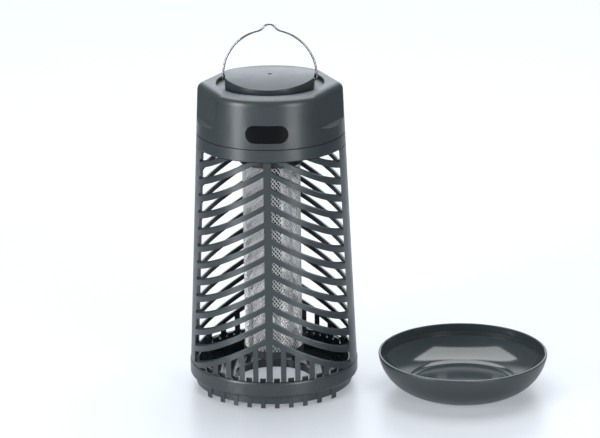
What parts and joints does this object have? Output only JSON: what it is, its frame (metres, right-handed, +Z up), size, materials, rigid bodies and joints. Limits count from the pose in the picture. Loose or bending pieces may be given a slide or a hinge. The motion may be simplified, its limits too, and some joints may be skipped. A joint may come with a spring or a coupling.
{
  "type": "electric bug zapper",
  "caption": "Free-standing tapered bug zapper: chevron grille cage round mesh electrodes and a lamp, faceted head with a wire bail, and a loose round catch dish beside it.",
  "frame": {"origin": "on the axis of the cage, at the plane it stands on (the foot of the drop collar and the pegs)", "axes": "+Z up along the cage's axis; -Y is the front, with the smoked window; +X is to the right seen from the front, where the loose dish lies"},
  "size_m": [0.319, 0.1627, 0.3297],
  "materials": {
    "housing": "satin-gloss slate grey moulded plastic",
    "window": "smoked black, polished",
    "wire": "bright drawn wire",
    "mesh": "bright expanded metal",
    "insulator": "dark heat-resistant plastic",
    "spacer": "pale grey plastic",
    "lamp": "clear tube",
    "diode": "white solder resist",
    "board": "green board",
    "cell": "shrink-sleeved cells",
    "potting": "black potting",
    "screw": "zinc-plated steel",
    "rubber": "soft black rubber",
    "lead": "tinned lead",
    "socket": "stamped steel shell"
  },
  "bodies": {
    "unit": {"cage": "housing", "base_ring": "housing", "head_shell": "housing", "top_boss": "housing", "boss_screws": "screw", "sensor_window": "window", "seam_gasket": "rubber", "outer_grid": "mesh", "inner_grid": "mesh", "grid_holder": "insulator", "grid_spacer": "spacer", "lamp_tube": "lamp", "lamp_cap": "insulator", "led_strip": "diode", "grid_leads": "lead", "deck_plate": "insulator", "main_board": "board", "housing_screws": "screw", "holder_screws": "screw", "board_screws": "screw", "battery_cradle": "potting", "battery_cells": "cell", "hv_module": "potting", "rear_board": "board", "power_switch": "potting", "charge_port": "socket", "indicator_board": "board"},
    "bail": {"bail": "wire"},
    "tray": {"collection_tray": "housing"},
    "button": {"power_button": "housing"},
    "cover": {"port_cover": "rubber"}
  },
  "joints": [
    {"name": "bail_swing", "type": "hinge", "parent": "unit", "child": "bail", "pos_m": [0, 0, 0.2795], "axis": [1, 0, 0], "range_deg": [-90, 90]},
    {"name": "tray_lift", "type": "slide", "parent": "unit", "child": "tray", "axis": [0, 0, 1], "range_m": [0, 0.12]},
    {"name": "button_press", "type": "slide", "parent": "unit", "child": "button", "axis": [0, -1, 0], "range_m": [0, 0.0008], "stiffness_N_per_m": 800},
    {"name": "cover_open", "type": "hinge", "parent": "unit", "child": "cover", "pos_m": [0, 0.0642, 0.2393], "axis": [-1, 0, 0], "range_deg": [0, 90]}
  ]
}
